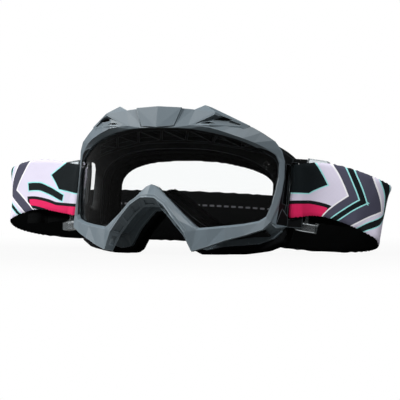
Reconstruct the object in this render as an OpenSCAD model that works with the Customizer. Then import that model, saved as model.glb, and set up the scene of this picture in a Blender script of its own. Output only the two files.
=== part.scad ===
// Off-road goggles: moulded frame, cylindrical lens, layered face foam and a printed elastic strap.
// Millimetres. X to the wearer's left, Y from the lens towards the face, Z up.
// The pieces are drawn upright, as worn, and rest() leans them back onto the floor.

/* [Stance] */
// Backward lean of the goggles when they stand on a table, in degrees
lean = 10; // [6:1:14]

/* [Lens] */
// Radius of the lens cylinder
lens_r = 123.4; // [118:0.2:130]
// Depth of the lens front at the middle, in front of the zero plane
lens_front = 7; // [6.6:0.1:7.4]
// Thickness of the lens sheet
lens_t = 1.2; // [0.8:0.1:1.6]
// How far the lens reaches into the groove past the opening
lens_lap = 2.6; // [2:0.1:3]
// Play of the lens in its groove
lens_play = 0.15; // [0.1:0.05:0.25]

/* [Frame] */
// Depth of the lens wall behind the lens
seat_depth = 3.6; // [3:0.2:5]
// Thickness of the face band
band_t = 3; // [2.4:0.2:4]
// Thickness of the rear flange that carries the foam
flange_t = 2.5; // [2:0.1:3.5]
// Thickness of the web between the lens and the flange
wall_t = 3.2; // [2.6:0.2:4]
// Thickness of the nose lip
lip_t = 2.6; // [2.2:0.1:2.8]
// Depth of the recesses in the nose lip
lip_recess = 1.2; // [0.8:0.1:1.4]

/* [Vents] */
// Width of the ribs between the top vents
rib_w = 1.6; // [1.4:0.2:2.4]
// Thickness of the filter foam
filter_t = 4; // [3:0.5:5]

/* [Brow plate] */
// Half width of the brow plate along its top
plate_top = 19.8; // [18:0.2:22]
// Half width of the brow plate along its bottom
plate_bottom = 14.2; // [12:0.2:16]
// Thickness of the brow plate at its ends
plate_t = 1.2; // [1:0.1:1.6]
// Width of the groove round the brow plate
plate_groove = 0.8; // [0.6:0.1:1.2]

/* [Face foam] */
// Thickness of the firm foam on the flange
foam_base_t = 5; // [4:0.5:6]
// Thickness of the soft middle foam
foam_mid_t = 9; // [7:0.5:10]
// Thickness of the fleece layer
fleece_t = 2.6; // [2:0.2:3.5]

/* [Ears] */
// Thickness of the side ears
ear_t = 3; // [2.5:0.1:3.5]
// Width of the bar that the strap turns round
ear_bar = 6; // [5:0.5:7]
// Width of the strap slot in the ear
slot_w = 5.4; // [5:0.1:6]

/* [Strap] */
// Width of the strap
strap_w = 40; // [38:1:42]
// Thickness of the strap
strap_t = 1.6; // [1.2:0.1:1.8]
// Length of one grip bead
bead_l = 4; // [3:0.5:5]
// Distance from one grip bead to the next
bead_pitch = 6.5; // [6:0.5:9]
// Height of a grip bead above the strap
bead_h = 0.4; // [0.3:0.1:0.6]

/* [Adjusters] */
// Height of the sliders
slider_h = 55; // [54:0.5:58]
// Width of the sliders along the strap
slider_w = 16; // [14:1:18]
// Width and thickness of a slider bar
slider_bar = 2.4; // [2:0.2:3]
// Height of the rails at the ends of the sliders
rail_h = 6; // [5:0.5:7]
// Running gap between a slider and the strap
slider_gap = 0.35; // [0.3:0.05:0.6]
// Place of the right slider along the straight part of its tail
slider_right = 8; // [8:0.2:14]
// Place of the left slider along the straight part of its tail
slider_left = 13.8; // [12:0.2:16]

/* [Hidden] */

// Shape of the frame's right half, clockwise from the middle of the brow to the nose. Each row:
// opening edge [x, z], lip edge [x, y, z], face edge [x, y, z], web root [x, y, z],
// flange outer edge [x, z], flange inner edge [x, z], depth of the flange's front face,
// share of the flange's width, from its inner edge, at which the web meets it.
stations = [
    [[0, 95.6], [0, -9, 97.2], [0, -8.4, 110.8], [0, -3, 100.5], [0, 100], [0, 85], 21, 0.5],
    [[14, 95.6], [14, -7.6, 97.2], [16, -7.4, 110.6], [15, -2.4, 100.5], [15, 100], [15, 84.8], 21.4, 0.5],
    [[27, 95.2], [27, -6.4, 97.4], [29, -5.6, 109.6], [28, -1, 100.5], [28, 99.6], [27, 84.2], 22.5, 0.5],
    [[36.8, 93.9], [37, -6, 96.6], [38, -3.6, 108], [38, 1.5, 99.8], [38, 98.6], [36, 83.2], 24, 0.5],
    [[43.5, 92.9], [43.6, -5.4, 95.8], [46, -1.5, 106.4], [46, 4, 98.8], [47, 97.4], [43, 82], 25.5, 0.5],
    [[51.3, 91.4], [53, -1.4, 93.6], [56, 3, 103.8], [55, 9, 97.4], [57, 95.4], [51, 80.4], 28, 0.55],
    [[59.5, 89.4], [60.5, 2.4, 91.4], [64, 8, 101.4], [63, 14, 95.6], [66, 92.6], [58, 78.4], 31, 0.6],
    [[65.5, 87.6], [66.6, 6.2, 89.6], [70, 11.8, 99.2], [69, 18, 93.6], [73.5, 89.8], [63, 76.4], 33.5, 0.7],
    [[72, 85], [73.2, 11.8, 87.4], [76.5, 16, 95.6], [75.5, 22, 91], [80.5, 86], [67.5, 74], 36, 0.8],
    [[78, 81.8], [79.3, 17.6, 84.6], [84.4, 21.2, 90.4], [82.4, 27, 87.4], [86.6, 81.6], [71.5, 71], 38.5, 0.9],
    [[84.4, 77.4], [86.4, 24.8, 80], [88.6, 25.6, 84], [87.8, 32, 81.5], [88.6, 76], [74.5, 67.5], 41, 0.95],
    [[86.6, 73], [88.4, 27, 74.8], [90.4, 29, 76.4], [90, 35, 74.4], [89.8, 70.6], [75.6, 64], 42, 0.95],
    [[87, 63.5], [88.8, 27, 63.5], [90.8, 30.5, 63.5], [90.6, 36.5, 63], [90, 60.5], [76, 57], 42.5, 0.95],
    [[85.9, 53], [87.8, 25.6, 53], [90.2, 29.2, 53], [90.4, 35.5, 52], [90, 48], [75.4, 47], 42, 0.95],
    [[84.6, 43], [86.5, 23.6, 42.6], [89.2, 26.8, 42], [89.6, 33.5, 41], [89, 36], [74, 37], 40.5, 0.95],
    [[82.4, 33.4], [84, 20.6, 32], [86.8, 22.6, 29.4], [87.8, 29.5, 28.6], [88, 24.5], [71.5, 29], 38, 0.9],
    [[79, 29.8], [79.8, 17, 27.8], [83.4, 17.8, 23], [81.5, 24, 24.5], [83.6, 19], [68, 28], 36, 0.7],
    [[70, 26.4], [70.3, 9.6, 24.3], [72.6, 9.8, 17.2], [71.5, 16.5, 21], [73.2, 14], [61, 26.4], 31, 0.4],
    [[59.1, 23.8], [59.4, 2.6, 21.7], [61, 2.2, 12.2], [60, 9.5, 18.4], [61, 11.8], [53, 24.6], 26, 0.4],
    [[48, 21.7], [48, -2.6, 19.6], [48.4, -2.6, 6.4], [48.5, 4.5, 16.4], [48, 10], [45, 23.2], 21.5, 0.4],
    [[40.6, 20.6], [40, -5.2, 18.4], [38, -6.4, 2.4], [39, 2.2, 15], [37.4, 6.8], [37.6, 23.4], 17.5, 0.4],
    [[38.6, 21], [38.2, -6, 20], [32.4, -9.8, 15.6], [33.8, 1.4, 16.6], [26.5, 8.4], [33, 26], 14, 0.45],
    [[27.4, 30.4], [26.8, -8.2, 29.4], [22.4, -12.8, 27], [23.6, 0, 26.5], [18.5, 21.4], [24, 32], 11.5, 0.45],
    [[15.6, 40.9], [15.1, -9.3, 40], [14.4, -13.6, 36], [15, -1.5, 35.6], [10.5, 29.5], [14, 39.4], 9.5, 0.45],
    [[4.8, 50.4], [4.2, -9.8, 49.8], [6.2, -13.8, 41.2], [6.2, -2.2, 41.8], [5, 34.6], [4.6, 45.8], 8.5, 0.45],
    [[0, 52.2], [0, -10.2, 51.6], [0, -14.6, 41.4], [0, -2.4, 42], [0, 35], [0, 47.6], 8.2, 0.45]
];
// Rear edge of the nose lip, from the tip of the lower panel to the middle, [x, y, z]
lip_rear = [[34.5, 0.5, 2.4], [27.5, -1.5, 14.5], [20.5, -4, 22], [13.6, -5.2, 29.5], [7, -5.6, 35.2],
            [0, -6, 35.6]];
lip_first = 20;
// Shares of the flange's width where the foam's crown starts and ends
crown_outer = 0.72;
crown_inner = 0.3;
// Least share of the flange's width that shows inside the web
wall_least = 0.08;
// Thickness of the frame's lip in front of the lens, at the opening
lip_edge = 1.5;
// Spacing of the joints of the vent truss, and how many lie on each side of the middle
truss_step = 11;
truss_half = 7;

function lens_y(x) = lens_r - lens_front - sqrt(lens_r * lens_r - x * x);
function mix(a, b, t) = a + (b - a) * t;
function flip(p) = [-p[0], p[1], p[2]];
function back(p, d) = p + [0, d, 0];
function opening(s) = [s[0][0], lens_y(s[0][0]) - lip_edge, s[0][1]];
function flange_at(s, share, depth) = [mix(s[5], s[4], share)[0], s[6] + depth, mix(s[5], s[4], share)[1]];
// Where the inside of the web meets the flange, as a share of the flange's width
function web_inside(s) = max(s[7] - wall_t / norm(s[4] - s[5]), wall_least);
function outward(s) = let (d = s[4] - s[5]) [d[0], 0, d[1]] / norm(d);

// One closed cross-section of the frame at a station
function section(s) = [
    opening(s), s[1], s[2], back(s[2], band_t), s[3], flange_at(s, s[7], 0),
    flange_at(s, 1, 0), flange_at(s, 1, flange_t), flange_at(s, crown_outer, flange_t),
    flange_at(s, crown_inner, flange_t), flange_at(s, 0, flange_t), flange_at(s, 0, 0),
    flange_at(s, web_inside(s), 0),
    [s[0][0], lens_y(s[0][0]) + seat_depth, s[0][1]]
];

// A list of right-hand sections carried on round the left side, which mirrors it
function around(list) = let (n = len(list)) concat(list,
    [for (i = [n - 2:-1:1]) [for (p = list[i]) flip(p)]]);
// The same for an open strip that runs from the left end to the right end
function across(list) = let (n = len(list)) concat(
    [for (i = [n - 1:-1:1]) [for (p = list[i]) flip(p)]], list);

function quad_faces(a, b, c, d, other) = other ? [[a, b, d], [b, c, d]] : [[a, b, c], [a, c, d]];
// Triangles between sections; a closed strip joins its last section to its first. Quads on the left,
// and those from point swap on, are split along the other diagonal, so that the sides mirror each
// other and a layer's front face has the same triangles as the face that it lies on.
function strip_faces(s, closed, swap) = let (n = len(s), m = len(s[0])) [
    for (i = [0:closed ? n - 1 : n - 2], j = [0:m - 1])
        let (k = (i + 1) % n, l = (j + 1) % m, left = s[i][0][0] + s[k][0][0] < 0, front = j >= swap)
            each quad_faces(i * m + j, i * m + l, k * m + l, k * m + j, left != front)
];
function cap_faces(n, m) = concat(
    [for (j = [1:m - 2]) [0, j + 1, j]],
    [for (j = [1:m - 2]) [(n - 1) * m, (n - 1) * m + j, (n - 1) * m + j + 1]]);

// A solid swept through sections; turn = true when the sections run the other way round
module loft(sections, closed = false, turn = false, swap = 99) {
    faces = concat(strip_faces(sections, closed, swap),
        closed ? [] : cap_faces(len(sections), len(sections[0])));
    polyhedron(
        points = [for (s = sections, p = s) p],
        faces = turn ? [for (f = faces) [f[2], f[1], f[0]]] : faces
    );
}

module stand() {
    translate([-centre_x, -centre_y, 0]) children();
}
module rest() {
    stand() rotate([-lean, 0, 0]) children();
}

// Outline of the lens, a set distance outside the opening
function outline(extra) = let (
        half = [for (s = stations) s[0]],
        n = len(half),
        full = concat(half, [for (i = [n - 2:-1:1]) [-half[i][0], half[i][1]]]),
        m = len(full)
    ) [for (i = [0:m - 1])
        let (t = full[(i + 1) % m] - full[(i + m - 1) % m])
            full[i] + extra * [-t[1], t[0]] / norm(t)];

lens_sides = 240;
module lens_sheet(extra, front, rear) {
    depth = 2 * lens_r;
    intersection() {
        translate([0, lens_r - lens_front, 0]) difference() {
            cylinder(r = lens_r + front, h = depth, $fn = lens_sides);
            translate([0, 0, -1]) cylinder(r = lens_r - lens_t - rear, h = depth + 2, $fn = lens_sides);
        }
        translate([0, lens_r / 2, 0]) rotate([90, 0, 0])
            linear_extrude(lens_r) polygon(outline(extra));
    }
}

// Zigzag of windows through the top of the frame, leaving the ribs of a truss
truss_floor = 78;
truss_margin = 2.5;
truss_rear = 17.5;
truss_sweep = 78;
function vent_front(x) = lens_y(x) + seat_depth + truss_margin;
function vent_rear(x) = truss_rear * (1 + pow(x / truss_sweep, 2));
function truss_x(k) = k * truss_step;
function truss_point(k, front) = [truss_x(k), front ? vent_front(truss_x(k)) : vent_rear(truss_x(k))];

module truss_windows() {
    for (k = [-truss_half:truss_half - 2]) {
        front = k % 2 == 0;
        translate([0, 0, truss_floor]) linear_extrude(hood_top) offset(delta = -rib_w / 2)
            polygon([truss_point(k, front), truss_point(k + 2, front), truss_point(k + 1, !front)]);
    }
}

module frame_ring() {
    loft(around([for (s = stations) section(s)]), closed = true);
}

// The convex solid with these corners
module facet_solid(corners) {
    hull() polyhedron(points = corners, faces = [[for (i = [0:len(corners) - 1]) i]]);
}
// A box from one corner to the opposite one
module block(from, to) {
    translate(from) cube(to - from);
}
module both_sides() {
    children();
    mirror([1, 0, 0]) children();
}

// Air scoop on the right of the brow: a hood with a peaked front edge over a sunk intake
hood = [[26.6, -6.6, 97.4], [29, -5.4, 109.3], [37.5, -3.4, 113.2], [41.5, 0.4, 112], [48, -5.4, 107.4],
        [69.4, 10.6, 99.8], [69.4, 14, 98.6], [66, 8, 97], [44, -5.8, 97.2], [30, -2.2, 98]];
hood_top = max([for (p = hood) p[2]]);
intake = [[32, 98.8], [47.6, 105.6], [64, 100.2], [63, 98.7], [44, 98], [34, 98]];
upper_slot = [[45.1, 102.2], [51, 105.2], [59, 102.8], [52, 101.8]];
lower_slot = [[34.6, 98.8], [42, 100.4], [48, 99.4], [42, 98.6]];
intake_depth = 2.2;
slot_depth = 5.5;
mesh_t = 1.2;
// Front of the hood above a place on the brow
function hood_y(x) = x < 44 ? -5.8 : -5.8 + (x - 44) * 0.56;
// A sunk pocket with this outline, its floor a set depth behind the hood's front
module pocket(shape, deep, from = -30) {
    facet_solid(concat([for (p = shape) [p[0], from > -30 ? hood_y(p[0]) + from : from, p[1]]],
        [for (p = shape) [p[0], hood_y(p[0]) + deep, p[1]]]));
}
module scoop() {
    difference() {
        facet_solid(hood);
        pocket(intake, intake_depth);
    }
}

// Nose lip: a skin from the face band's lower edge backwards, with sunk panels
lip_root = 0.4;
lip_front = [for (i = [lip_first:len(stations) - 1]) back(stations[i][2], lip_root)];
function lip_in(i) = -lip_t * outward(stations[lip_first + i]);
function lip_section(i) = [lip_front[i], lip_rear[i], lip_rear[i] + lip_in(i), lip_front[i] + lip_in(i)];
module nose_lip() {
    loft(across([for (i = [len(lip_rear) - 1:-1:0]) lip_section(i)]), turn = true);
}
// A point on the lip between two stations a and a + 1, across from front to rear
function lip_at(a, along, across) = mix(
    mix(lip_front[a], lip_front[a + 1], along), mix(lip_rear[a], lip_rear[a + 1], along), across);
module lip_panel(a, from, to, top, bottom) {
    corners = [lip_at(a, from, top), lip_at(a, to, top), lip_at(a, to, bottom), lip_at(a, from, bottom)];
    side = cross(corners[1] - corners[0], corners[3] - corners[0]);
    normal = (side[2] < 0 ? 1 : -1) * side / norm(side);
    facet_solid(concat([for (c = corners) c + normal], [for (c = corners) c - lip_recess * normal]));
}
module lip_panels() {
    both_sides() {
        lip_panel(0, 0.3, 0.86, 0.3, 0.8);
        lip_panel(1, 0.1, 0.72, 0.24, 0.82);
        lip_panel(2, 0.1, 1, 0.2, 0.84);
        lip_panel(3, -0.001, 0.7, 0.2, 0.84);
        lip_panel(4, 0.35, 1.001, 0.22, 0.76);
    }
}

// Side ears: a plate beside the rear flange with an upright slot and the bar that the strap turns round
ear_angle = 20;
ear_root = [89.4, 40.4];
ear_low = 28.5;
ear_high = 80.4;
slot_edge = 1.6;
slot_low_end = 6;
slot_high_end = 3;
ear_w = slot_edge + slot_w + ear_bar;
module on_ear() {
    translate([ear_root[0], ear_root[1], 0]) rotate([0, 0, ear_angle]) children();
}
ear_sunk = 2;
slot_clear = 10;
module ear_body() {
    on_ear() translate([-ear_sunk, 0, ear_low]) cube([ear_w + ear_sunk, ear_t, ear_high - ear_low]);
    facet_solid([[84.2, 21.8, 89.6], [88.4, 26, 83.6], [90.6, 30.4, 70], [90.4, 38, 62],
        [91.6, 41.6, 80], [90.4, 43.4, 79.8], [86, 34, 85]]);
    facet_solid([[86, 25, 28.6], [87.4, 30.6, 26], [88.6, 40, 26.4], [91.4, 41.4, 29],
        [91.4, 41.4, 36], [89.4, 33.6, 42], [87, 38, 30]]);
}
module ear() {
    difference() {
        ear_body();
        on_ear() translate([slot_edge, -slot_clear, ear_low + slot_low_end])
            cube([slot_w, ear_t + 2 * slot_clear, ear_high - ear_low - slot_low_end - slot_high_end]);
    }
}

module frame() {
    color("slategray") rest() {
        difference() {
            union() {
                frame_ring();
                nose_lip();
                both_sides() scoop();
                both_sides() ear();
            }
            lens_sheet(lens_lap + lens_play, lens_play, lens_play);
            truss_windows();
            bottom_windows();
            side_windows();
            both_sides() {
                pocket(upper_slot, slot_depth);
                pocket(lower_slot, slot_depth);
            }
            lip_panels();
            plate_seat();
        }
    }
}
module scoop_mesh() {
    pocket(upper_slot, slot_depth, slot_depth - mesh_t);
    pocket(lower_slot, slot_depth, slot_depth - mesh_t);
}
module scoop_mesh_right() {
    color("black") rest() scoop_mesh();
}
module scoop_mesh_left() {
    color("black") rest() mirror([1, 0, 0]) scoop_mesh();
}

// Windows through the floor behind the lower panels, and the foam under them
bottom_vents = [[46, 10.5, 9], [58, 15, 9], [70, 22, 7]];
bottom_vent_l = 7;
bottom_vent_z = [10, 30];
module bottom_windows() {
    both_sides() for (v = bottom_vents)
        translate([v[0] - v[2] / 2, v[1], bottom_vent_z[0]])
            cube([v[2], bottom_vent_l, bottom_vent_z[1] - bottom_vent_z[0]]);
}

// Side vents: behind each end of the lens a window through the flange, one through the web beside it,
// and a notch in the foam, whose inner side slants outwards
side_vent = [83, 88.4, 92.4];
side_vent_y = [33.2, 42, 48];
side_vent_z = [43, 78];
side_web_z = [45, 75];
notch_x = [83.6, 96.3, 104];
notch_y = [42, 64];
module side_windows() {
    both_sides() {
        block([side_vent[0], side_vent_y[0], side_vent_z[0]], [side_vent[1], side_vent_y[2], side_vent_z[1]]);
        block([side_vent[0], side_vent_y[0], side_web_z[0]], [side_vent[2], side_vent_y[1], side_web_z[1]]);
    }
}
module foam_notches() {
    both_sides() translate([0, 0, side_vent_z[0]]) linear_extrude(side_vent_z[1] - side_vent_z[0])
        polygon([[notch_x[0], notch_y[0]], [notch_x[2], notch_y[0]], [notch_x[2], notch_y[1]],
            [notch_x[1], notch_y[1]]]);
}

// Brow plate: a trapezoid with an upright ridge, sunk in a shallow groove on the brow.
// Its lower edge, height and depth are given at its middle and at its ends.
plate_low = [95.8, 97.2];
plate_h = [15.8, 13.6];
plate_high = plate_low + plate_h;
plate_rear = [-7.5, -6.9];
plate_ridge = 1.1;
plate_glue = 0.15;
plate_front = [plate_rear[0] - plate_t - plate_ridge, plate_rear[1] - plate_t];
plate_clear = 10;
module plate_half(grow, glue, reach) {
    sides = [[0, plate_low[0] - grow, 0], [plate_bottom + grow, plate_low[1] - grow, 1],
        [plate_top + grow, plate_high[1] + grow, 1], [0, plate_high[0] + grow, 0]];
    facet_solid(concat([for (p = sides) [p[0], plate_rear[p[2]] + glue, p[1]]],
        [for (p = sides) [p[0], plate_front[p[2]] - reach, p[1]]]));
}
module plate_seat() {
    both_sides() plate_half(plate_groove, plate_glue, plate_clear);
}
module brow_plate() {
    color("slategray") rest() both_sides() plate_half(0, 0, 0);
}

// Posts that hold tear-off films, one near each upper corner of the lens
post_r = 1.6;
post_head_r = 2.4;
post_len = 3.4;
post_sides = 48;
post_head = 1.2;
post_foot_r = 3;
post_foot = 0.8;
post_play = 0.02;
post_seat = 0.05;
post_x = 79.5;
post_z = 72;
post_turn = asin(post_x / lens_r);
module on_post() {
    translate([0, lens_r - lens_front, post_z]) rotate([0, 0, post_turn]) translate([0, -lens_r, 0])
        rotate([90, 0, 0]) children();
}
module post() {
    foot = lens_t + post_seat + post_foot;
    translate([0, 0, -foot]) cylinder(r = post_foot_r, h = post_foot, $fn = post_sides);
    translate([0, 0, -foot]) cylinder(r = post_r, h = foot + post_len, $fn = post_sides);
    translate([0, 0, post_len - post_head]) cylinder(r = post_head_r, h = post_head, $fn = post_sides);
}
module post_holes() {
    both_sides() on_post() translate([0, 0, -5]) cylinder(r = post_r + post_play, h = 10, $fn = post_sides);
}
module lens() {
    color("lightcyan", 0.4) rest() difference() {
        lens_sheet(lens_lap, 0, 0);
        post_holes();
    }
}
module tear_off_post_right() {
    color("lightcyan", 0.6) rest() on_post() post();
}
module tear_off_post_left() {
    color("lightcyan", 0.6) rest() mirror([1, 0, 0]) on_post() post();
}

// Filter foam glued on the top truss and under the lower vents
filter_last = 8;
filter_first_low = 16;
filter_last_low = 19;
filter_front = 0.12;
filter_rear = 0.9;
filter_lift = 0.05;
function filter_section(s) = let (
        up = filter_t * outward(s),
        root = flange_at(s, s[7], 0),
        a = mix(s[3], root, filter_front) + filter_lift * outward(s),
        b = mix(s[3], root, filter_rear) + filter_lift * outward(s)
    ) [a, b, b + up, a + up];
module vent_foam_top() {
    color("darkslategray") rest()
        loft(across([for (i = [0:filter_last]) filter_section(stations[i])]), turn = true);
}
module bottom_filter() {
    loft([for (i = [filter_first_low:filter_last_low]) filter_section(stations[i])], turn = true);
}
module vent_foam_bottom_right() {
    color("darkslategray") rest() bottom_filter();
}
module vent_foam_bottom_left() {
    color("darkslategray") rest() mirror([1, 0, 0]) bottom_filter();
}

// Face foam in three layers. Each layer's sides are drawn in at its faces and swell between them.
// How far each layer reaches past the flange at its front and rear face, outside and inside.
base_over = [1.4, 1.4];
base_under = [1.5, 2.5];
mid_over = [1.6, 0.6];
mid_under = [4, 6.4];
fleece_over = [0.4, -1.6];
fleece_under = [6.8, 5];
fleece_crown = 1;
swell = 0.8;
foam_gap = 0.3;
foam_front = 6;
// Along the bottom the foam hangs below the flange, onto the floor
skirt_reach = 3.4;
skirt_top = 20;
skirt_inner = 36;
function skirt(s) = s[4][1] < skirt_top && s[4][0] > skirt_inner ? skirt_reach : 0;
floor_cut = [400, 400, 20];
function foam_section(s, from, to, over, under, crown) = let (
        out = outward(s),
        middle = (from + to) / 2,
        hang = skirt(s)
    ) [
        flange_at(s, 1, middle) + ((over[0] + over[1]) / 2 + swell + hang) * out,
        flange_at(s, 1, to) + (over[1] + hang) * out,
        flange_at(s, crown_outer, to + crown),
        flange_at(s, crown_inner, to + crown),
        flange_at(s, 0, to) - under[1] * out,
        flange_at(s, 0, middle) - ((under[0] + under[1]) / 2 + swell) * out,
        flange_at(s, 0, from) - under[0] * out,
        flange_at(s, crown_inner, from),
        flange_at(s, crown_outer, from),
        flange_at(s, 1, from) + (over[0] + hang) * out
    ];
module foam_layer(from, to, over, under, crown) {
    rest() difference() {
        loft(around([for (s = stations) foam_section(s, from, to, over, under, crown)]),
            closed = true, swap = foam_front);
        rotate([lean, 0, 0]) translate([-floor_cut[0] / 2, -floor_cut[1] / 2, -floor_cut[2]])
            cube(floor_cut);
        foam_notches();
    }
}
base_from = flange_t + foam_gap;
mid_from = base_from + foam_base_t + foam_gap;
fleece_from = mid_from + foam_mid_t + foam_gap;
module face_foam_base() {
    color("dimgray") difference() {
        foam_layer(base_from, base_from + foam_base_t, base_over, base_under, 0);
        rest() both_sides() ear_body();
    }
}
module face_foam_mid() {
    color("black") foam_layer(mid_from, mid_from + foam_mid_t, mid_over, mid_under, 0);
}
module face_fleece() {
    color("black") foam_layer(fleece_from, fleece_from + fleece_t, fleece_over, fleece_under, fleece_crown);
}

// Strap. Its route stands on the floor: [x, y, height of its middle, lean of its width to the back,
// lean to the right], from the slot of an ear, outside the ear's bar, round a fold to the middle of
// the back.
route_ear = [[94, 52.9, 47.4, 10, 0], [94.3, 51.4, 47.4, 10, 0], [96, 50.4, 47.6, 10, 0],
    [99, 51, 48, 10, 0], [104, 52.9, 48.6, 10, 0]];
route_right = [[112, 54.4, 49.2, 9, 0], [125, 56.4, 47.8, 8, 0], [140, 58.8, 43.6, 6, 0],
    [150, 61.4, 39.6, 4, 0], [156.6, 65.4, 35.8, -2, 5], [158.8, 71, 32.4, -3, 10],
    [156.8, 78.6, 29, 2, 11], [152, 87, 26.2, 5, 9], [144, 94.8, 23.8, 5, 5], [133, 101, 21.8, 3, 2],
    [118, 106.4, 20.6, 1, 0], [98, 110.6, 20.1, 0, 0], [72, 113, 21.2, 0, 0], [38, 114.2, 23.8, 0, 0]];
route_left = [[112, 54.4, 49.6, 9, 0], [125, 56.4, 51.4, 8, 0], [140, 58.8, 51.8, 6, 0],
    [153, 61.6, 49.8, 4, 0], [165, 65.6, 46.6, 2, 0], [172, 71.6, 42.6, 0, 0], [174, 80, 38.2, 0, 0],
    [172, 88.6, 34.4, 0, 0], [165.6, 96, 31.4, 0, 0], [154, 102, 29.2, 0, 0],
    [134, 107.4, 27.8, 0, 0], [106, 111, 27.4, 0, 0], [76, 113, 27.2, 0, 0],
    [40, 114.2, 26.8, 0, 0]];
route_back = [[0, 114.6, 25.6, 0, 0]];
// The end that comes back through the slot, behind the bar, to its seam on the strap
tail_route = [
    [94, 53.2, 46.8, 10, 0], [93.8, 55.4, 46.8, 10, 0], [93.9, 57.8, 46.7, 10, 0],
    [94.6, 59.6, 46.4, 10, 0], [96.4, 60.4, 46, 10, 0], [128, 64.6, 41.5, 10, 0], [134, 64.2, 41, 9, 0]
];
tail_end_right = [[139, 62.2, 40.8, 8, 0], [143.6, 62.2, 40.6, 7, 0], [149, 64.2, 40.6, 5, 0]];
tail_end_left = [[139, 61.9, 40.8, 8, 0], [144, 61.8, 40.6, 7, 0], [150, 62.9, 40.6, 6, 0]];
tail_straight = 4;
route_steps = 3;

// Smooth curve through the points of a route
function bend(a, b, c, d, t) = 0.5 * (2 * b + (c - a) * t + (2 * a - 5 * b + 4 * c - d) * t * t
    + (3 * b - a - 3 * c + d) * t * t * t);
function smooth(r) = let (n = len(r)) concat(
    [for (i = [0:n - 2], k = [0:route_steps - 1])
        bend(r[max(i - 1, 0)], r[i], r[i + 1], r[min(i + 2, n - 1)], k / route_steps)],
    [r[n - 1]]);
// The place of a route's point, without its lean
function spot(p) = [p[0], p[1], p[2]];
function along(r, i) = let (d = spot(r[min(i + 1, len(r) - 1)]) - spot(r[max(i - 1, 0)])) d / norm(d);
function unit(v) = v / norm(v);
function upright(p) = unit([tan(p[4]), tan(p[3]), 1]);
function wide(r, i) = let (w = upright(r[i]), t = along(r, i)) unit(w - (w * t) * t);
function thick(r, i) = cross(along(r, i), wide(r, i));
// Cross-section of the band with eased edges
edge = 0.5;
edge_t = 0.4;
function band_section(r, i) = let (
        p = spot(r[i]),
        w = strap_w / 2 * wide(r, i),
        e = (strap_w / 2 - edge) * wide(r, i),
        t = strap_t / 2 * thick(r, i)
    ) [p - w + edge_t * t, p - e + t, p + e + t, p + w + edge_t * t,
       p + w - edge_t * t, p + e - t, p - e - t, p - w - edge_t * t];
function mirrored(r) = let (n = len(r)) [for (i = [n - 1:-1:0]) [-r[i][0], r[i][1], r[i][2], r[i][3], -r[i][4]]];
loop_route = smooth(concat(route_ear, route_right, route_back, mirrored(concat(route_ear, route_left))));
loop_points = [for (i = [0:len(loop_route) - 1]) each band_section(loop_route, i)];
// The middle of the whole part, side to side and front to back
function lean_y(p) = p[1] * cos(lean) + p[2] * sin(lean);
front_y = min([for (s = stations, p = [s[1], s[2]]) lean_y(p)]);
centre_y = (front_y + max([for (p = loop_points) p[1]])) / 2;
centre_x = (min([for (p = loop_points) p[0]]) + max([for (p = loop_points) p[0]])) / 2;
module band(r) {
    loft([for (i = [0:len(r) - 1]) band_section(r, i)]);
}
module strap() {
    color("lavender") stand() band(loop_route);
}
module strap_tail_right() {
    color("black") stand() band(smooth(concat(tail_route, tail_end_right)));
}
module strap_tail_left() {
    color("black") stand() mirror([1, 0, 0]) band(smooth(concat(tail_route, tail_end_left)));
}

// A frame on a band: X along it, Y out of its inner face, Z across it
module on_band(point, dir, up) {
    side = unit(cross(up, dir));
    top = cross(dir, side);
    multmatrix([[dir[0], side[0], top[0], point[0]], [dir[1], side[1], top[1], point[1]],
        [dir[2], side[2], top[2], point[2]], [0, 0, 0, 1]]) children();
}

// Seams through tail and strap, rows of short stitches across the band
seam_at = [22, 26];
stitch_l = 2.4;
stitch_gap = 1.4;
stitch_d = 0.5;
stitch_play = 0.06;
seam_margin = 3;
module seam(tail_end) {
    r = smooth(concat(tail_route, tail_end));
    pitch = stitch_l + stitch_gap;
    rows = floor((strap_w - 2 * seam_margin) / pitch);
    for (i = seam_at) on_band(spot(r[i]), along(r, i), wide(r, i))
        for (k = [0:rows - 1])
            translate([-stitch_d / 2, strap_t / 2 + stitch_play, -strap_w / 2 + seam_margin + k * pitch])
                cube([stitch_d, stitch_d, stitch_l]);
}
module strap_stitches() {
    color("gray") stand() {
        seam(tail_end_right);
        mirror([1, 0, 0]) seam(tail_end_left);
    }
}

// Grip beads in a line on the inner face of the back run
bead_row = 9;
bead_play = 0.05;
bead_from = 110;
bead_w = 1.4;
back_from = 100;
back_run = [for (p = loop_route) if (p[1] > back_from) p];
function run_at(x) = [x, lookup(x, [for (p = back_run) [p[0], p[1]]]),
    lookup(x, [for (p = back_run) [p[0], p[2]]])];
module silicone_beads() {
    color("silver") stand() for (x = [-bead_from:bead_pitch:bead_from]) {
        a = run_at(x - bead_l / 2);
        b = run_at(x + bead_l / 2);
        on_band((a + b) / 2, unit(b - a), [0, 0, 1])
            translate([-bead_l / 2, -strap_t / 2 - bead_h - bead_play, bead_row - bead_w / 2])
                cube([bead_l, bead_h, bead_w]);
    }
}

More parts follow.
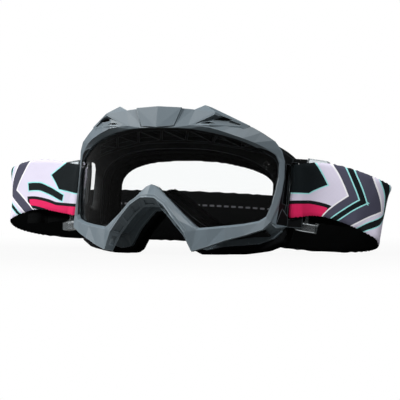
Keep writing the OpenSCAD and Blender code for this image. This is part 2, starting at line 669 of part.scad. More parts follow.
// Clear sliders on the straight stretch of the tails
slider_dir = unit(spot(tail_route[tail_straight + 1]) - spot(tail_route[tail_straight]));
slider_y = strap_t / 2 + slider_gap;
slider_drop = 1;
module slider() {
    for (side = [-1, 1])
        translate([-slider_w / 2, -slider_y - slider_bar, side * (slider_h - rail_h) / 2 - rail_h / 2])
            cube([slider_w, 2 * (slider_y + slider_bar), rail_h]);
    for (side = [-1, 1])
        translate([side * (slider_w - slider_bar) / 2 - slider_bar / 2, slider_y, -slider_h / 2])
            cube([slider_bar, slider_bar, slider_h]);
    translate([-slider_bar / 2, -slider_y - slider_bar, -slider_h / 2])
        cube([slider_bar, slider_bar, slider_h]);
}
module slider_at(distance) {
    up = [0, sin(tail_route[tail_straight][3]), cos(tail_route[tail_straight][3])];
    on_band(spot(tail_route[tail_straight]) + distance * slider_dir - slider_drop * up, slider_dir, up)
        slider();
}
module adjuster_right() {
    color("white", 0.4) stand() slider_at(slider_right);
}
module adjuster_left() {
    color("white", 0.4) stand() mirror([1, 0, 0]) slider_at(slider_left);
}

frame();
brow_plate();
lens();
tear_off_post_right();
tear_off_post_left();
vent_foam_top();
vent_foam_bottom_right();
vent_foam_bottom_left();
scoop_mesh_right();
scoop_mesh_left();
face_foam_base();
face_foam_mid();
face_fleece();
strap();
strap_tail_right();
strap_tail_left();
strap_stitches();
silicone_beads();
adjuster_right();
adjuster_left();
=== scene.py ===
"""Off-road goggles: moulded TPU frame, clear lens, layered face foam and a printed elastic strap."""
import math

import bmesh
import bpy
from mathutils import Matrix, Vector, noise


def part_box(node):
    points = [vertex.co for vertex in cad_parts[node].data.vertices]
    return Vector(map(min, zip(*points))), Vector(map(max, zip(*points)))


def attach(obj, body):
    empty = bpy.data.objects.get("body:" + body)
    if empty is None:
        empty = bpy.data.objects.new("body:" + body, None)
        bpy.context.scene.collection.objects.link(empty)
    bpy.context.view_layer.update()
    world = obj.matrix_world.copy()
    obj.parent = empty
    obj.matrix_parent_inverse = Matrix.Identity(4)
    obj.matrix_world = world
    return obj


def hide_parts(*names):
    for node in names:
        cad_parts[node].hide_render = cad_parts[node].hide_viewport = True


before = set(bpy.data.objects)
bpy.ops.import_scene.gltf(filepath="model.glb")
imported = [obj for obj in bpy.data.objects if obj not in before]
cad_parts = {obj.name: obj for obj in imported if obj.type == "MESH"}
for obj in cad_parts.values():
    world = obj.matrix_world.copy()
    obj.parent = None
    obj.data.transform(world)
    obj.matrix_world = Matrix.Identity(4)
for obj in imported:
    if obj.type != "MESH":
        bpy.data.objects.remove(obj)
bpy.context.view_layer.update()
MM = 0.001
scene = bpy.context.scene


# ---------------------------------------------------------------- camera

def make_camera():
    """A long lens 30 degrees to the goggles' side, almost level."""
    data = bpy.data.cameras.new("camera")
    data.lens, data.sensor_width = 207.0, 36.0
    data.clip_end = 20.0
    camera = bpy.data.objects.new("camera", data)
    scene.collection.objects.link(camera)
    side, dip = math.radians(30.0), math.radians(0.78)
    look = Vector((-math.sin(side) * math.cos(dip), math.cos(side) * math.cos(dip), -math.sin(dip)))
    camera.location = (0.8997, -1.5286, 0.0645)
    camera.rotation_euler = look.to_track_quat("-Z", "Y").to_euler()
    scene.camera = camera


make_camera()


# ---------------------------------------------------------------- shader nodes

def colour(code):
    """An sRGB hex value as the linear colour that a shader takes."""
    channels = [int(code[i:i + 2], 16) / 255 for i in (1, 3, 5)]
    return tuple(c / 12.92 if c <= 0.04045 else ((c + 0.055) / 1.055) ** 2.4 for c in channels) + (1.0,)


def add(tree, kind, settings=None, **links):
    """One shader node, with its settings, and its sockets given as values or as other nodes' outputs."""
    node = tree.nodes.new("ShaderNode" + kind)
    for name, value in (settings or {}).items():
        setattr(node, name, value)
    for name, value in links.items():
        key = int(name[1:]) if name[0] == "i" and name[1:].isdigit() else name.replace("_", " ")
        socket = node.inputs[key]
        if isinstance(value, bpy.types.NodeSocket):
            tree.links.new(value, socket)
        else:
            socket.default_value = value
    return node


def material(name):
    """A new node material with a Principled surface. Returns it, its tree and that node."""
    made = bpy.data.materials.new(name)
    made.use_nodes = True
    tree = made.node_tree
    return made, tree, tree.nodes["Principled BSDF"]


def maths(tree, operation, a, b=0.0, clamp=False):
    """The outcome of one Math node."""
    return add(tree, "Math", {"operation": operation, "use_clamp": clamp}, i0=a, i1=b).outputs[0]


def blend_colour(tree, share, a, b):
    """Colour a where share is 0 and colour b where it is 1."""
    return add(tree, "Mix", {"data_type": "RGBA"}, i0=share, i6=a, i7=b).outputs[2]


def place(tree, scale):
    """Object coordinates in millimetres times scale: 1 gives one pattern step a millimetre."""
    coordinates = add(tree, "TexCoord").outputs["Object"]
    return add(tree, "Mapping", i0=coordinates, Scale=(1000 * scale,) * 3).outputs[0]


def noise_in(tree, size, detail=2.0):
    """Noise whose blots are about this many millimetres across."""
    return add(tree, "TexNoise", Vector=place(tree, 1 / size), Scale=1.0, Detail=detail).outputs["Fac"]


def bump(tree, shader, height, distance, strength):
    """Fine relief in a material: distance in metres is what a height of 1 stands for."""
    node = add(tree, "Bump", Height=height, Distance=distance, Strength=strength)
    tree.links.new(node.outputs[0], shader.inputs["Normal"])


def tones(tree, shader, share, dark, light):
    """A surface colour between two sRGB values."""
    tree.links.new(blend_colour(tree, share, colour(dark), colour(light)), shader.inputs["Base Color"])


def edges(tree, radius):
    """How far the surface turns within this radius: the mask for a painted highlight on a moulded
    piece's edges.
    """
    rounded = add(tree, "Bevel", {"samples": 6}, Radius=radius).outputs[0]
    flat = add(tree, "NewGeometry").outputs["Normal"]
    same = add(tree, "VectorMath", {"operation": "DOT_PRODUCT"}, i0=rounded, i1=flat).outputs["Value"]
    turned = maths(tree, "SUBTRACT", 1.0, same)
    return maths(tree, "MULTIPLY", turned, 9.0, clamp=True)


# The frame's grey: its mean tone and its specular level
GREY, GREY_GLOSS = "#5c676e", 0.35
# Sizes in millimetres of a moulding's mottle and of its grain, which is coarser than the real
# 0.1 mm so that it shows, and the radius in metres of the painted highlight on an edge
MOTTLE, GRAIN, HIGHLIGHT_RADIUS = 22, 0.45, 0.0006


def moulded_tpu(name, dark, light, edge, gloss, line=None):
    """Thermoplastic polyurethane, injection moulded with a spark-eroded finish: an even matt tone
    with a fine grain, a little paler on the edges, which is a painted highlight. With a line, the
    tones hold behind it as painted shade, and the frame's grey in front of it."""
    made, tree, shader = material(name)
    cloud = noise_in(tree, MOTTLE, 3.0)
    body = blend_colour(tree, cloud, colour(dark), colour(light))
    # Paler edges: a painted highlight in the edge colour, masked by how far the surface turns.
    edge_highlight = maths(tree, "MULTIPLY", edges(tree, HIGHLIGHT_RADIUS), 0.5)
    body = blend_colour(tree, edge_highlight, body, colour(edge))
    # Where the line's mask is 1 the dark tones stand as painted shade; elsewhere the frame's grey.
    if line:
        behind = line(tree)
        body = blend_colour(tree, behind, colour(GREY), body)
    tree.links.new(body, shader.inputs["Base Color"])
    bump(tree, shader, noise_in(tree, GRAIN), 0.00006, 0.6)
    rough = add(tree, "MapRange", Value=cloud, i1=0.3, i2=0.7, i3=0.46, i4=0.56).outputs[0]
    tree.links.new(rough, shader.inputs["Roughness"])
    shader.inputs["IOR"].default_value = 1.5
    shader.inputs["Specular IOR Level"].default_value = gloss
    if line:
        loss = maths(tree, "MULTIPLY", behind, GREY_GLOSS - gloss)
        shine = maths(tree, "SUBTRACT", GREY_GLOSS, loss)
        tree.links.new(shine, shader.inputs["Specular IOR Level"])
    return made


def clear_polycarbonate():
    """Polycarbonate sheet, hard-coated: colourless, glossy and see-through."""
    made, tree, shader = material("clear_polycarbonate")
    shader.inputs["Base Color"].default_value = colour("#fafcfc")
    shader.inputs["Transmission Weight"].default_value = 1.0
    shader.inputs["Roughness"].default_value = 0.01
    shader.inputs["IOR"].default_value = 1.2
    return made


def clear_moulding():
    """Clear polycarbonate, injection moulded: bright edges and a faint grey body."""
    made, tree, shader = material("clear_moulding")
    shader.inputs["Base Color"].default_value = colour("#e2eaee")
    shader.inputs["Transmission Weight"].default_value = 0.9
    shader.inputs["Roughness"].default_value = 0.08
    shader.inputs["IOR"].default_value = 1.5
    return made


def foam(name, dark, light, cell, relief, rough=0.95):
    """Polyurethane foam, skived to thickness: matt, with open cells on its cut faces."""
    made, tree, shader = material(name)
    cells = add(tree, "TexVoronoi", {"feature": "SMOOTH_F1"}, Vector=place(tree, 1 / cell), Scale=1.0)
    walls = cells.outputs["Distance"]
    tones(tree, shader, walls, dark, light)
    bump(tree, shader, walls, relief, 0.8)
    shader.inputs["Roughness"].default_value = rough
    shader.inputs["Specular IOR Level"].default_value = 0.03
    return made


def fleece():
    """Polyester fleece, brushed: black, with a soft sheen along its nap."""
    made, tree, shader = material("brushed_fleece")
    nap = noise_in(tree, 0.8, 4.0)
    tones(tree, shader, nap, "#030304", "#0d0e0f")
    bump(tree, shader, nap, 0.0005, 0.9)
    shader.inputs["Roughness"].default_value = 1.0
    shader.inputs["Specular IOR Level"].default_value = 0.02
    shader.inputs["Sheen Weight"].default_value = 0.01
    return made


def webbing(tree, uv):
    """Height of knitted elastic: ribs along the band and picks across it, 0.9 mm apart."""
    ribs, picks = (add(tree, "TexWave", {"bands_direction": way}, Vector=uv, Scale=0.35, Distortion=sway)
                   for way, sway in (("Y", 0.6), ("X", 0.8)))
    return maths(tree, "MULTIPLY", ribs.outputs["Fac"], picks.outputs["Fac"])


def band_uv(tree):
    """Place on the band in millimetres: along it and across it."""
    return add(tree, "UVMap", {"uv_map": "band"}).outputs[0]


LAVENDER, INK, MINT = colour("#dcd7ea"), colour("#0d1417"), colour("#9fe6e6")
PINK, SLATE, WHITE = colour("#e0245f"), colour("#4a4a5b"), colour("#f4f3f8")


def chevron(start, width, reach):
    """Two bars that meet in a point, as corner lists along and across the band."""
    return [[(start, 21), (start + width, 21), (start + width + reach, 0), (start + reach, 0)],
            [(start + reach, 0), (start + width + reach, 0), (start + width, -21), (start, -21)]]


def printed_shapes(left):
    """The print on one half of the strap: outlines, ink, and the ink and width of their edging."""
    back = [
        ([[(97, 14), (190, 14), (190, 8), (103, 8)]], INK, MINT, 0.9),
        ([[(103, -8), (190, -8), (190, -15), (97, -15)]], SLATE, WHITE, 0.9),
    ]
    if left:
        return [
            ([[(-4, 22), (20, 22), (34, 8), (24, -2), (-4, -3)]], INK, MINT, 0.9),
            ([[(18, -6), (44, 1), (44, -5), (18, -11)], [(44, 1), (58, 2), (58, -4), (44, -5)]],
             INK, MINT, 0.9),
            ([[(-4, -13), (24, -15), (24, -21), (-4, -22)],
              [(24, -15), (58, -11), (58, -16), (24, -21)]], PINK, INK, 2.4),
            (chevron(54, 11, 20), SLATE, WHITE, 1.2),
            (chevron(72, 4, 20), INK, MINT, 0.8),
        ] + back
    return [
        ([[(-4, 22), (18, 22), (30, 4), (16, -3), (-4, 0)]], INK, MINT, 0.9),
        ([[(-4, -9), (34, -13), (30, -24), (-4, -24)]], PINK, INK, 2.6),
        (chevron(30, 27, 18), SLATE, WHITE, 1.2),
        (chevron(39, 5, 18), INK, MINT, 1.0),
        (chevron(63, 6, 18), INK, MINT, 0.8),
    ] + back


def inside(tree, point, corners):
    """How far a point lies inside a convex outline, negative outside it, in millimetres."""
    middle = (sum(c[0] for c in corners) / len(corners), sum(c[1] for c in corners) / len(corners))
    depth = None
    for (x0, y0), (x1, y1) in zip(corners, corners[1:] + corners[:1]):
        length = math.hypot(x1 - x0, y1 - y0)
        nx, ny = (y0 - y1) / length, (x1 - x0) / length
        level = -(nx * x0 + ny * y0)
        if nx * middle[0] + ny * middle[1] + level < 0:
            nx, ny, level = -nx, -ny, -level
        past = add(tree, "VectorMath", {"operation": "DOT_PRODUCT"}, i0=point, i1=(nx, ny, level))
        past = past.outputs["Value"]
        depth = past if depth is None else maths(tree, "MINIMUM", depth, past)
    return depth


def printed_elastic(total):
    """Polyester elastic, knitted and dye-printed: soft lavender ground with ink, mint and pink bars.
    total is the length of the band in millimetres; the two halves carry different prints."""
    made, tree, shader = material("printed_elastic")
    uv = band_uv(tree)
    split = add(tree, "SeparateXYZ", i0=uv)
    right = add(tree, "CombineXYZ", i0=split.outputs[0], i1=split.outputs[1], i2=1.0).outputs[0]
    left = add(tree, "CombineXYZ", i0=maths(tree, "SUBTRACT", total, split.outputs[0]),
               i1=split.outputs[1], i2=1.0).outputs[0]
    halves = []
    for point, on_left in ((right, False), (left, True)):
        tone = LAVENDER
        for outlines, ink, rim, width in printed_shapes(on_left):
            depths = [inside(tree, point, corners) for corners in outlines]
            depth = depths[0]
            for other in depths[1:]:
                depth = maths(tree, "MAXIMUM", depth, other)
            tone = blend_colour(tree, maths(tree, "GREATER_THAN", depth, -width), tone, rim)
            tone = blend_colour(tree, maths(tree, "GREATER_THAN", depth, 0.0), tone, ink)
        halves.append(tone)
    second = maths(tree, "GREATER_THAN", split.outputs[0], total / 2)
    tone = blend_colour(tree, second, halves[0], halves[1])
    knit = webbing(tree, uv)
    hollows = maths(tree, "MULTIPLY", maths(tree, "SUBTRACT", 1.0, knit), 0.16)
    shade = blend_colour(tree, hollows, tone, INK)
    tree.links.new(shade, shader.inputs["Base Color"])
    bump(tree, shader, knit, 0.00012, 0.7)
    shader.inputs["Roughness"].default_value = 0.82
    shader.inputs["Specular IOR Level"].default_value = 0.1
    shader.inputs["Sheen Weight"].default_value = 0.02
    return made


def black_elastic():
    """Polyester elastic, knitted, solution-dyed black: the strap's back and its tails."""
    made, tree, shader = material("black_elastic")
    knit = webbing(tree, band_uv(tree))
    tones(tree, shader, knit, "#030404", "#0d0e10")
    bump(tree, shader, knit, 0.0002, 0.8)
    shader.inputs["Roughness"].default_value = 0.92
    shader.inputs["Specular IOR Level"].default_value = 0.03
    shader.inputs["Sheen Weight"].default_value = 0.01
    return made


def plain(name, code, rough, cell=0.5, relief=0.00003):
    """A small moulded or sewn piece: one tone, mottled and finely grained."""
    made, tree, shader = material(name)
    grain = noise_in(tree, cell)
    dark = tuple(c * 0.8 for c in colour(code)[:3]) + (1.0,)
    tree.links.new(blend_colour(tree, grain, dark, colour(code)), shader.inputs["Base Color"])
    bump(tree, shader, grain, relief, 0.6)
    shader.inputs["Roughness"].default_value = rough
    return made


TPU = moulded_tpu("moulded_tpu_grey", "#566269", "#616d75", "#98a4aa", GREY_GLOSS)
LENS = clear_polycarbonate()
CLEAR = clear_moulding()
FILTER = foam("filter_foam_open_cell", "#060707", "#26282a", 1.3, 0.0009)
FIRM = foam("face_foam_closed_cell", "#0a0b0c", "#131416", 0.7, 0.0002, 0.85)
SOFT = foam("face_foam_soft", "#040405", "#0d0e0f", 1.1, 0.0005)
FLEECE = fleece()
BLACK = black_elastic()
SILICONE = plain("silicone_print", "#55555a", 0.45)
THREAD = plain("polyester_thread", "#2c2c30", 0.8)
MESH = plain("dark_filter_mesh", "#101214", 0.9, 0.7, 0.0003)


# ---------------------------------------------------------------- mesh tools

def new_piece(name, points, faces, slots):
    """A mesh object from points and faces, with its materials."""
    mesh = bpy.data.meshes.new(name)
    mesh.from_pydata([tuple(p) for p in points], [], faces)
    piece = bpy.data.objects.new(name, mesh)
    scene.collection.objects.link(piece)
    for m in slots:
        mesh.materials.append(m)
    return piece


def copy_of(node, name, *slots):
    """A new piece with a CAD node's mesh, its doubled vertices joined."""
    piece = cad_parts[node].copy()
    piece.data = piece.data.copy()
    piece.name = piece.data.name = name
    for key in list(piece.keys()):
        del piece[key]
    piece.parent = None
    scene.collection.objects.link(piece)
    work = bmesh.new()
    work.from_mesh(piece.data)
    bmesh.ops.remove_doubles(work, verts=work.verts, dist=0.00001)
    work.to_mesh(piece.data)
    work.free()
    piece.data.materials.clear()
    for m in slots:
        piece.data.materials.append(m)
    return piece


def apply(piece):
    """Turns the modifiers into plain mesh."""
    depsgraph = bpy.context.evaluated_depsgraph_get()
    mesh = bpy.data.meshes.new_from_object(piece.evaluated_get(depsgraph))
    piece.modifiers.clear()
    piece.data = mesh
    return piece


def smooth(piece, angle=180.0):
    """Smooth shading, with sharp edges where the surface turns by more than this angle."""
    for face in piece.data.polygons:
        face.use_smooth = True
    if angle < 180:
        piece.data.set_sharp_from_angle(angle=math.radians(angle))
    return piece


# Faces that meet at less than this angle count as one flat face
FLAT = math.radians(1.5)


def bevelled(piece, width, limit, segments):
    """Joins the triangles of flat faces and rounds the edges, as a mould's radii do. The broad faces
    keep their own flat shading and the narrow rounded strips carry the turn."""
    work = bmesh.new()
    work.from_mesh(piece.data)
    bmesh.ops.dissolve_limit(work, angle_limit=FLAT, verts=work.verts, edges=work.edges)
    work.to_mesh(piece.data)
    work.free()
    rounding = piece.modifiers.new("radii", "BEVEL")
    rounding.width, rounding.segments = width, segments
    rounding.limit_method, rounding.angle_limit = "ANGLE", math.radians(limit)
    rounding.use_clamp_overlap = True
    smooth(piece)
    weighting = piece.modifiers.new("flat_faces", "WEIGHTED_NORMAL")
    weighting.weight, weighting.keep_sharp = 80, True
    mesh = apply(piece).data
    turned = [Vector(corner.vector) for corner in mesh.corner_normals]
    for face in mesh.polygons:
        spots = [mesh.vertices[i].co for i in face.vertices]
        longest = max((a - b).length for a, b in zip(spots, spots[1:] + spots[:1]))
        if face.area > longest * width * 1.5:
            for i in face.loop_indices:
                turned[i] = face.normal
    mesh.normals_split_custom_set(turned)
    return piece


# What easing takes off a foam body, in metres
FOAM_SWELL = 0.00025


def softened(piece, voxel):
    """A foam body: remeshed evenly, its corners eased, and swelled back to size above the floor."""
    remesh = piece.modifiers.new("cells", "REMESH")
    remesh.mode, remesh.voxel_size = "VOXEL", voxel
    ease = piece.modifiers.new("ease", "SMOOTH")
    ease.factor, ease.iterations = 0.5, 4
    apply(piece)
    normals = [v.normal.copy() for v in piece.data.vertices]
    for v, n in zip(piece.data.vertices, normals):
        v.co += n * FOAM_SWELL
        v.co.z = max(v.co.z, 0.0)
    return smooth(piece)


def finish_node(node, look):
    """A CAD node that stays, with a better material."""
    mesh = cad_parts[node].data
    mesh.materials.clear()
    mesh.materials.append(look)


# ---------------------------------------------------------------- frame, lens and small mouldings

# The frame as it is worn, upright, in millimetres. Outline inside its wall, (x, z) of the right half
WALL = [(0, 99), (38, 98.3), (55, 95.9), (69, 92), (75.5, 89.5), (82.4, 86), (87, 80.5), (88.8, 74),
        (89, 63), (88.8, 52), (88, 41), (86, 30), (80, 26), (70, 22.5), (60, 20), (48.5, 18),
        (39, 16.5), (34, 18), (24, 28), (15.5, 37), (6.5, 43.3), (0, 43.5)]
# The lens's cylinder, and how far behind it the painted shade starts
LENS_R, LENS_FRONT, SHADE_GAP = 123.4, 7.0, 2.2
# The curve where the side's grey face ends and the painted shade starts: from x, as far as, bend and
# depth, and its lower end
SIDE_X, SIDE_REACH, SIDE_BEND, SIDE_Y, SIDE_LOW = 70, 24, 0.037, 15.5, 34
# The hoods' front, which slopes back past a kink, the depth of their intakes and the slots in them
HOOD_Y, HOOD_KINK, HOOD_SLOPE, INTAKE = -5.8, 44, 0.56, 2.6
UPPER_SLOT = [(44.6, 102), (51, 105.7), (59.6, 103), (52, 101.3)]
LOWER_SLOT = [(34.1, 98.6), (42, 100.9), (48.6, 99.4), (42, 98.1)]
# The step beside each hood: between these, and above
STEP_X, STEP_LOW = (24, 30), 97.5
LEAN = math.radians(10)
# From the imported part's place to the frame's own, by the frame's middle and the strap's rear
STRAP_REAR = 115.4
FRAME_MIDDLE = (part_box("frame")[0].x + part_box("frame")[1].x) / 2 / MM
FRONT_SHIFT = STRAP_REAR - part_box("strap")[1].y / MM


def as_worn(point):
    """A packed point in millimetres upright, as the frame is worn, before it leans back."""
    x, y, z = point.x / MM - FRAME_MIDDLE, point.y / MM + FRONT_SHIFT, point.z / MM
    return Vector((x, y * math.cos(LEAN) - z * math.sin(LEAN), y * math.sin(LEAN) + z * math.cos(LEAN)))


def within(x, z, outline):
    """Whether a point lies in an outline, by the edges that a line to its right crosses."""
    crossed = False
    for (x0, z0), (x1, z1) in zip(outline, outline[1:] + outline[:1]):
        if (z0 > z) != (z1 > z) and x < x0 + (z - z0) / (z1 - z0) * (x1 - x0):
            crossed = not crossed
    return crossed


def worn_at(tree):
    """The distance from the middle and the depth of a place on the frame as it is worn, as sockets."""
    x, y, z = add(tree, "SeparateXYZ", i0=place(tree, 1)).outputs
    deep = maths(tree, "MULTIPLY", maths(tree, "ADD", y, FRONT_SHIFT), math.cos(LEAN))
    lowered = maths(tree, "MULTIPLY", z, math.sin(LEAN))
    return (maths(tree, "ABSOLUTE", maths(tree, "SUBTRACT", x, FRAME_MIDDLE)),
            maths(tree, "SUBTRACT", deep, lowered))


def behind_lens(tree):
    """1 where the frame lies behind the lens, by its cylinder: where the painted shade goes inside the
    eye port.
    """
    x, y = worn_at(tree)
    half = maths(tree, "SUBTRACT", LENS_R ** 2, maths(tree, "MULTIPLY", x, x))
    front = maths(tree, "SUBTRACT", LENS_R - LENS_FRONT + SHADE_GAP, maths(tree, "SQRT", half))
    return maths(tree, "GREATER_THAN", y, front)


def behind_face(tree):
    """1 where the frame's side lies behind the curve that ends its face: where the painted shade goes on
    the sides.
    """
    x, y = worn_at(tree)
    out = maths(tree, "MINIMUM", maths(tree, "SUBTRACT", x, SIDE_X), SIDE_REACH)
    curve = maths(tree, "MULTIPLY", maths(tree, "MULTIPLY", out, out), SIDE_BEND)
    return maths(tree, "GREATER_THAN", y, maths(tree, "ADD", curve, SIDE_Y))


def shade_slot(spot, normal):
    """The material slot of a frame face: 1 inside the eye port, 2 at the sides and the ears, 3 in
    the scoops' slots and the step beside each hood, else 0. Slots 1 to 3 are black, painted shade
    where the grey frame lies in shadow. In 1 and 2 a line divides the colours, so they start a
    little before it."""
    x, y, z = abs(spot.x), spot.y, spot.z
    lens = LENS_R - LENS_FRONT - math.sqrt(max(LENS_R ** 2 - x * x, 0.0))
    outline = WALL + [(-a, b) for a, b in reversed(WALL[1:-1])]
    if y > lens - 1.0 and within(x, z, outline):
        return 1
    side = SIDE_Y + SIDE_BEND * min(x - SIDE_X, SIDE_REACH) ** 2
    if x > SIDE_X + 2 and z > SIDE_LOW and y > side - 6:
        return 2
    hood = HOOD_Y + max(x - HOOD_KINK, 0) * HOOD_SLOPE
    slot = y > hood + INTAKE and (within(x, z, UPPER_SLOT) or within(x, z, LOWER_SLOT))
    step = STEP_X[0] < x < STEP_X[1] and y < 0 and z > STEP_LOW and abs(normal.x) > 0.8
    return 3 if slot or step else 0


# Black for the eye port, the sides and ears, the scoops' slots and the hood steps: painted shade where
# the grey frame lies in shadow, with a paler painted highlight on the edges.
SHADE_TONES = "#060708", "#0c0e0f", "#6a747a", 0.08
GREY_AND_SHADE = (TPU, moulded_tpu("painted_shade_inside", *SHADE_TONES, behind_lens),
         moulded_tpu("painted_shade_sides", *SHADE_TONES, behind_face),
         moulded_tpu("painted_shade_slots_and_steps", *SHADE_TONES))
shell = bevelled(copy_of("frame", "moulded_frame", *GREY_AND_SHADE), 0.0003, 13.0, 2)
for face in shell.data.polygons:
    face.material_index = shade_slot(as_worn(face.center), face.normal)
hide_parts("frame")
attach(shell, "goggle")

finish_node("brow_plate", TPU)
finish_node("lens", LENS)
for side in ("right", "left"):
    finish_node("tear_off_post_" + side, LENS)
    finish_node("scoop_mesh_" + side, MESH)
    slider = bevelled(copy_of("adjuster_" + side, "strap_slider_" + side, CLEAR), 0.0006, 30, 3)
    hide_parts("adjuster_" + side)
    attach(slider, "adjuster_" + side)

# ---------------------------------------------------------------- foam

for node, name, voxel, look, slot in (
        ("vent_foam_top", "filter_over_top_vents", 0.0012, FILTER, "filter_foam"),
        ("vent_foam_bottom_right", "filter_under_right_vents", 0.0012, FILTER, "filter_foam"),
        ("vent_foam_bottom_left", "filter_under_left_vents", 0.0012, FILTER, "filter_foam"),
        ("face_foam_base", "firm_face_foam", 0.0014, FIRM, "firm_foam"),
        ("face_foam_mid", "soft_face_foam", 0.0016, SOFT, "soft_foam"),
        ("face_fleece", "brushed_face_layer", 0.0010, FLEECE, "fleece")):
    pad = softened(copy_of(node, name, look), voxel)
    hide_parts(node)
    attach(pad, "goggle")


# ---------------------------------------------------------------- strap

# Points on the band's middle line: x, y, height, then how far its upper edge leans back and right
EAR = [(94, 52.9, 47.4, 10, 0), (94.3, 51.4, 47.4, 10, 0), (96, 50.4, 47.6, 10, 0),
       (99, 51, 48, 10, 0), (104, 52.9, 48.6, 10, 0)]
RIGHT = [(112, 54.4, 49.2, 9, 0), (125, 56.4, 47.8, 8, 0), (140, 58.8, 43.6, 6, 0),
         (150, 61.4, 39.6, 4, 0), (156.6, 65.4, 35.8, -2, 5), (158.8, 71, 32.4, -3, 10),
         (156.8, 78.6, 29, 2, 11), (152, 87, 26.2, 5, 9), (144, 94.8, 23.8, 5, 5),
         (133, 101, 21.8, 3, 2), (118, 106.4, 20.6, 1, 0), (98, 110.6, 20.1, 0, 0),
         (72, 113, 21.2, 0, 0), (38, 114.2, 23.8, 0, 0)]
LEFT = [(112, 54.4, 49.6, 9, 0), (125, 56.4, 51.4, 8, 0), (140, 58.8, 51.8, 6, 0),
        (153, 61.6, 49.8, 4, 0), (165, 65.6, 46.6, 2, 0), (172, 71.6, 42.6, 0, 0),
        (174, 80, 38.2, 0, 0), (172, 88.6, 34.4, 0, 0), (165.6, 96, 31.4, 0, 0),
        (154, 102, 29.2, 0, 0), (134, 107.4, 27.8, 0, 0), (106, 111, 27.4, 0, 0),
        (76, 113, 27.2, 0, 0), (40, 114.2, 26.8, 0, 0)]
BACK = [(0, 114.6, 25.6, 0, 0)]
TAIL = [(94, 53.2, 46.8, 10, 0), (93.8, 55.4, 46.8, 10, 0), (93.9, 57.8, 46.7, 10, 0),
        (94.6, 59.6, 46.4, 10, 0), (96.4, 60.4, 46, 10, 0), (128, 64.6, 41.5, 10, 0),
        (134, 64.2, 41, 9, 0)]
TAIL_END = {"right": [(139, 62.2, 40.8, 8, 0), (143.6, 62.2, 40.6, 7, 0), (149, 64.2, 40.6, 5, 0)],
            "left": [(139, 61.9, 40.8, 8, 0), (144, 61.8, 40.6, 7, 0), (150, 62.9, 40.6, 6, 0)]}
STRAP_W, STRAP_T = 40.0, 1.6
# Columns of faces across the band, where its edge starts to round as a share of half the width,
# and the pitch of the loops along its selvedge
COLUMNS, SELVEDGE, LOOP_PITCH = 26, 0.93, 2.6


def curve_through(points, steps):
    """Points of the smooth curve through a route's points."""
    found = []
    last = len(points) - 1
    for i in range(last):
        a, b, c, d = (points[max(i - 1, 0)], points[i], points[i + 1], points[min(i + 2, last)])
        for k in range(steps):
            t = k / steps
            found.append([0.5 * (2 * q + (r - p) * t + (2 * p - 5 * q + 4 * r - s) * t * t
                                 + (3 * q - p - 3 * r + s) * t ** 3) for p, q, r, s in zip(a, b, c, d)])
    found.append(list(points[last]))
    return found


def band(name, route, mirror, steps, scallop, slots):
    """A band along a route: rounded edges, a slight ripple and scalloped selvedges. Its UV map gives
    the place along and across it in millimetres; the first material is its outer face. Returns the
    band and its length."""
    line = curve_through(route, steps)
    flip = -1 if mirror else 1
    spots = [Vector((p[0] * flip, p[1], p[2])) for p in line]
    half = STRAP_W / 2
    run = 0.0
    points, places, faces, looks = [], [], [], []
    profile = [(-half + STRAP_W * j / COLUMNS, 1) for j in range(COLUMNS + 1)]
    profile += [(v, -1) for v, _ in reversed(profile)]
    ring = len(profile)
    for i, spot in enumerate(spots):
        ahead, behind = spots[min(i + 1, len(spots) - 1)], spots[max(i - 1, 0)]
        along = (ahead - behind).normalized()
        lean_back, lean_right = (math.tan(math.radians(a)) for a in line[i][3:])
        wide = Vector((lean_right * flip, lean_back, 1)).normalized()
        wide = (wide - along * wide.dot(along)).normalized()
        thick = along.cross(wide)
        if mirror:
            thick = -thick
        run += (spot - spots[i - 1]).length if i else 0.0
        for v, face in profile:
            edge = abs(v) / half
            loops = scallop * math.sin(run * 2 * math.pi / LOOP_PITCH) / half
            reach = v * (1 + loops * (edge > 0.98))
            rounding = max(0.0, (edge - SELVEDGE) / 0.07) ** 2 * 0.85
            depth = STRAP_T / 2 * math.sqrt(max(0.0, 1 - rounding))
            ripple = 0.12 * noise.noise(Vector((run / 14, v / 9, 3.0 if mirror else 0.0)))
            points.append(spot + wide * reach + thick * (face * depth + ripple))
            places.append((run, v))
    for i in range(len(spots) - 1):
        for j in range(ring):
            k = (j + 1) % ring
            faces.append((i * ring + j, i * ring + k, (i + 1) * ring + k, (i + 1) * ring + j))
            looks.append(0 if j < COLUMNS else 1)
    faces.append(tuple(range(ring)))
    faces.append(tuple(reversed(range((len(spots) - 1) * ring, len(spots) * ring))))
    looks += [1, 1]
    piece = new_piece(name, points, faces, slots)
    piece.data.polygons.foreach_set("material_index", looks)
    layer = piece.data.uv_layers.new(name="band")
    for loop in piece.data.loops:
        layer.data[loop.index].uv = places[loop.vertex_index]
    work = bmesh.new()
    work.from_mesh(piece.data)
    bmesh.ops.recalc_face_normals(work, faces=work.faces)
    work.to_mesh(piece.data)
    work.free()
    return smooth(piece, 60.0), run


def mirrored(route):
    """A route on the other side, run backwards."""
    return [(-p[0], p[1], p[2], p[3], -p[4]) for p in reversed(route)]


def to_frame(piece, shift):
    """Millimetres in the route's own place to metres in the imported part's."""
    piece.data.transform(Matrix.Scale(MM, 4) @ Matrix.Translation(shift))


def route_shift(route):
    """From the route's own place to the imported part's, by the strap's left and rear sides. The
    leaning edges reach past the middle line on the left, which this leaves out, so the bands lie
    about 2.4 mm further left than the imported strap."""
    line = curve_through(route, 3)
    low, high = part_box("strap")
    return Vector((low.x / MM - min(p[0] for p in line) + STRAP_T / 2,
                   high.y / MM - max(p[1] for p in line) - STRAP_T / 2, 0))


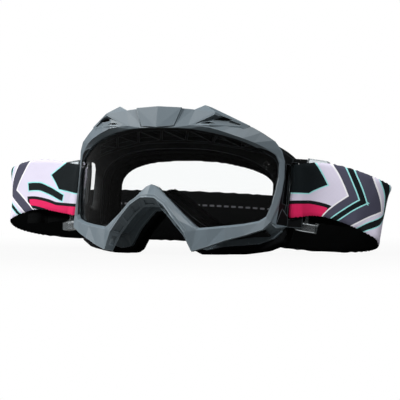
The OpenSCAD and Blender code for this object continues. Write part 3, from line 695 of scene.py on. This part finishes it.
loop_route = EAR + RIGHT + BACK + mirrored(EAR + LEFT)
shift = route_shift(loop_route)
loop, loop_length = band("printed_strap", loop_route, False, 9, 0.3, [BLACK, BLACK])
loop.data.materials[0] = printed_elastic(loop_length)
to_frame(loop, shift)
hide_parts("strap")
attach(loop, "goggle")
for side in ("right", "left"):
    tail, _ = band("strap_end_" + side, TAIL + TAIL_END[side], side == "left", 9, 0.25, [BLACK, BLACK])
    to_frame(tail, shift)
    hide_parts("strap_tail_" + side)
    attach(tail, "goggle")
finish_node("strap_stitches", THREAD)
finish_node("silicone_beads", SILICONE)


# ---------------------------------------------------------------- stage and light

def looked_at(tree):
    """1 for what the camera sees, straight or through the lens, and 0 for what lights the object."""
    path = add(tree, "LightPath")
    seen = maths(tree, "MAXIMUM", path.outputs["Is Camera Ray"], path.outputs["Is Transmission Ray"])
    bounced = maths(tree, "ADD", path.outputs["Diffuse Depth"], path.outputs["Glossy Depth"])
    return maths(tree, "MULTIPLY", seen, maths(tree, "LESS_THAN", bounced, 0.5))


WHITE_LIGHT = (1.0, 1.0, 1.0, 1.0)
# The world's strength as light, and as the camera sees it
AMBIENT, SEEN = 0.12, 1.0


def stage():
    """A pale floor that keeps the shadow near the object and fades to white half a metre out, and
    white all round for the camera."""
    made, tree, shader = material("pale_floor")
    shader.inputs["Base Color"].default_value = colour("#6f6e6c")
    shader.inputs["Roughness"].default_value = 0.9
    output = tree.nodes["Material Output"]
    white = add(tree, "Emission", Color=WHITE_LIGHT, Strength=1.0)
    away = add(tree, "VectorMath", {"operation": "LENGTH"}, i0=add(tree, "TexCoord").outputs["Object"])
    fade = add(tree, "MapRange", {"interpolation_type": "SMOOTHSTEP"}, Value=away.outputs["Value"],
               i1=0.08, i2=0.5, i3=0.93, i4=1.0).outputs[0]
    seen = maths(tree, "MULTIPLY", looked_at(tree), fade)
    mixed = add(tree, "MixShader", i0=seen, i1=shader.outputs[0], i2=white.outputs[0])
    tree.links.new(mixed.outputs[0], output.inputs["Surface"])
    floor = new_piece("floor", [(-6, -6, 0), (6, -6, 0), (6, 6, 0), (-6, 6, 0)], [(0, 1, 2, 3)], [made])

    world = bpy.data.worlds.new("studio")
    scene.world = world
    world.use_nodes = True
    tree = world.node_tree
    background = tree.nodes["Background"]
    strength = add(tree, "MapRange", Value=looked_at(tree), i1=0.0, i2=1.0, i3=AMBIENT,
                   i4=SEEN).outputs[0]
    background.inputs["Color"].default_value = WHITE_LIGHT
    tree.links.new(strength, background.inputs["Strength"])


def lamp(name, place_at, size, power):
    """A round soft lamp turned to the goggles' middle, its size in metres and power in watts."""
    data = bpy.data.lights.new(name, "AREA")
    data.shape, data.size, data.energy = "DISK", size, power
    light = bpy.data.objects.new(name, data)
    scene.collection.objects.link(light)
    light.location = place_at
    aim = Vector((0, 0, 0.05))
    light.rotation_euler = (aim - Vector(place_at)).to_track_quat("-Z", "Y").to_euler()


stage()
lamp("key_softbox", (-1.2, -0.75, 0.95), 0.5, 38)
lamp("top_softbox", (0.9, -0.4, 1.4), 0.5, 28)

scene.view_settings.view_transform = "Standard"
